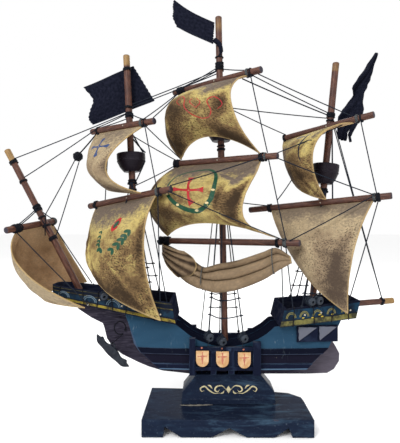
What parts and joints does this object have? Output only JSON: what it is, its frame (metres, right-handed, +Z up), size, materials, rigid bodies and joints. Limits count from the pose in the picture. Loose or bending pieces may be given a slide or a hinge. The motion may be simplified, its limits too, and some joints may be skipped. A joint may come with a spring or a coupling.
{
  "type": "model sailing ship",
  "caption": "Souvenir wooden sailing-ship model on a stand, with masts, braced yards that tilt on their nails, stiff canvas sails, crow's nests and a hanging anchor.",
  "frame": {"origin": "on the underside of the stand's board, in the hull's centre plane, a little ahead of the main mast", "axes": "+X towards the stern, -Y to port, +Z up; the hull's centre plane is Y = 0"},
  "size_m": [0.3735, 0.0722, 0.3978],
  "materials": {
    "stand_gloss": "glossy dark navy enamel on wood",
    "keel_wood": "grey-purple stained wood, matt",
    "hull_blue": "satin blue paint on wood, fine scratches",
    "navy_paint": "satin dark navy paint on wood",
    "castle_paint": "dark navy paint with ochre strip, satin",
    "stained_dowel": "reddish-brown stained dowel, satin",
    "nest_stain": "dark stained turned wood, satin",
    "sail_canvas": "stiffened canvas, gold-mottled tan",
    "flag_cloth": "black woven cloth, matt",
    "shield_paint": "cream-orange paint, matt",
    "bead_glaze": "blue-grey painted bead, satin",
    "rigging_thread": "slate-black twisted thread",
    "anchor_paint": "dark navy paint, satin"
  },
  "bodies": {
    "hull": {"base_board": "stand_gloss", "stand_block": "stand_gloss", "keel_board": "keel_wood", "hull_port": "hull_blue", "hull_starboard": "hull_blue", "channel_port": "navy_paint", "channel_starboard": "navy_paint", "gunports_port": "navy_paint", "gunports_starboard": "navy_paint", "forecastle": "castle_paint", "aftcastle": "castle_paint", "fore_mast": "stained_dowel", "main_mast": "stained_dowel", "mizzen_mast": "stained_dowel", "bowsprit": "stained_dowel", "boomkin": "stained_dowel", "fore_nest": "nest_stain", "main_nest": "nest_stain", "mizzen_nest": "nest_stain", "fore_flag": "flag_cloth", "main_flag": "flag_cloth", "mizzen_flag": "flag_cloth", "shield_port_1": "shield_paint", "shield_port_2": "shield_paint", "shield_port_3": "shield_paint", "shield_starboard_1": "shield_paint", "shield_starboard_2": "shield_paint", "shield_starboard_3": "shield_paint", "main_deadeye_1": "bead_glaze", "main_deadeye_2": "bead_glaze", "main_deadeye_3": "bead_glaze", "mizzen_deadeye_1": "bead_glaze", "mizzen_deadeye_2": "bead_glaze", "fore_deadeye": "bead_glaze", "main_shrouds_port": "rigging_thread", "main_shrouds_starboard": "rigging_thread"},
    "fore_topsail_rig": {"fore_topsail_yard": "stained_dowel", "fore_topsail": "sail_canvas"},
    "fore_course_rig": {"fore_course_yard": "stained_dowel", "fore_course": "sail_canvas"},
    "main_topgallant_rig": {"main_topgallant_yard": "stained_dowel", "main_topgallant_sail": "sail_canvas"},
    "main_topsail_rig": {"main_topsail_yard": "stained_dowel", "main_topsail": "sail_canvas"},
    "main_course_rig": {"main_course_yard": "stained_dowel", "furled_main_course": "sail_canvas"},
    "mizzen_topsail_rig": {"mizzen_topsail_yard": "stained_dowel", "mizzen_topsail": "sail_canvas"},
    "mizzen_course_rig": {"mizzen_course_yard": "stained_dowel", "mizzen_course": "sail_canvas"},
    "spritsail_rig": {"spritsail_yard": "stained_dowel", "spritsail": "sail_canvas"},
    "anchor_rig": {"anchor": "anchor_paint"}
  },
  "joints": [
    {"name": "fore_topsail_tilt", "type": "hinge", "parent": "hull", "child": "fore_topsail_rig", "pos_m": [-0.07674, -0.00556, 0.2753], "axis": [-0.5388, -0.8425, 0], "range_deg": [-2.5, 2.5]},
    {"name": "fore_course_tilt", "type": "hinge", "parent": "hull", "child": "fore_course_rig", "pos_m": [-0.07331, -0.00573, 0.2073], "axis": [-0.497, -0.8678, 0], "range_deg": [-2.5, 2.5]},
    {"name": "main_topgallant_tilt", "type": "hinge", "parent": "hull", "child": "main_topgallant_rig", "pos_m": [0.00919, -0.0052, 0.3174], "axis": [-0.6157, -0.788, 0], "range_deg": [-2.5, 2.5]},
    {"name": "main_topsail_tilt", "type": "hinge", "parent": "hull", "child": "main_topsail_rig", "pos_m": [0.01168, -0.00586, 0.2428], "axis": [-0.4602, -0.8878, 0], "range_deg": [-2.5, 2.5]},
    {"name": "main_course_tilt", "type": "hinge", "parent": "hull", "child": "main_course_rig", "pos_m": [0.01375, -0.00612, 0.166], "axis": [-0.3746, -0.9272, 0], "range_deg": [-2.5, 2.5]},
    {"name": "mizzen_topsail_tilt", "type": "hinge", "parent": "hull", "child": "mizzen_topsail_rig", "pos_m": [0.11463, -0.00528, 0.2746], "axis": [-0.6004, -0.7997, 0], "range_deg": [-2.5, 2.5]},
    {"name": "mizzen_course_tilt", "type": "hinge", "parent": "hull", "child": "mizzen_course_rig", "pos_m": [0.10855, -0.0059, 0.2028], "axis": [-0.4493, -0.8934, 0], "range_deg": [-2.5, 2.5]},
    {"name": "spritsail_tilt", "type": "hinge", "parent": "hull", "child": "spritsail_rig", "pos_m": [-0.16057, 0.0028, 0.1829], "axis": [-0.7978, 0.4381, -0.4142], "range_deg": [-2.5, 2.5]},
    {"name": "anchor_swing", "type": "hinge", "parent": "hull", "child": "anchor_rig", "pos_m": [-0.087, -0.012, 0.0716], "axis": [0, 1, 0], "range_deg": [-20, 20]}
  ],
  "couplings": [
    {"joint": "fore_topsail_tilt", "follows": "fore_course_tilt", "ratio": 1},
    {"joint": "main_topgallant_tilt", "follows": "main_course_tilt", "ratio": 1},
    {"joint": "main_topsail_tilt", "follows": "main_course_tilt", "ratio": 1},
    {"joint": "mizzen_topsail_tilt", "follows": "mizzen_course_tilt", "ratio": 1}
  ]
}
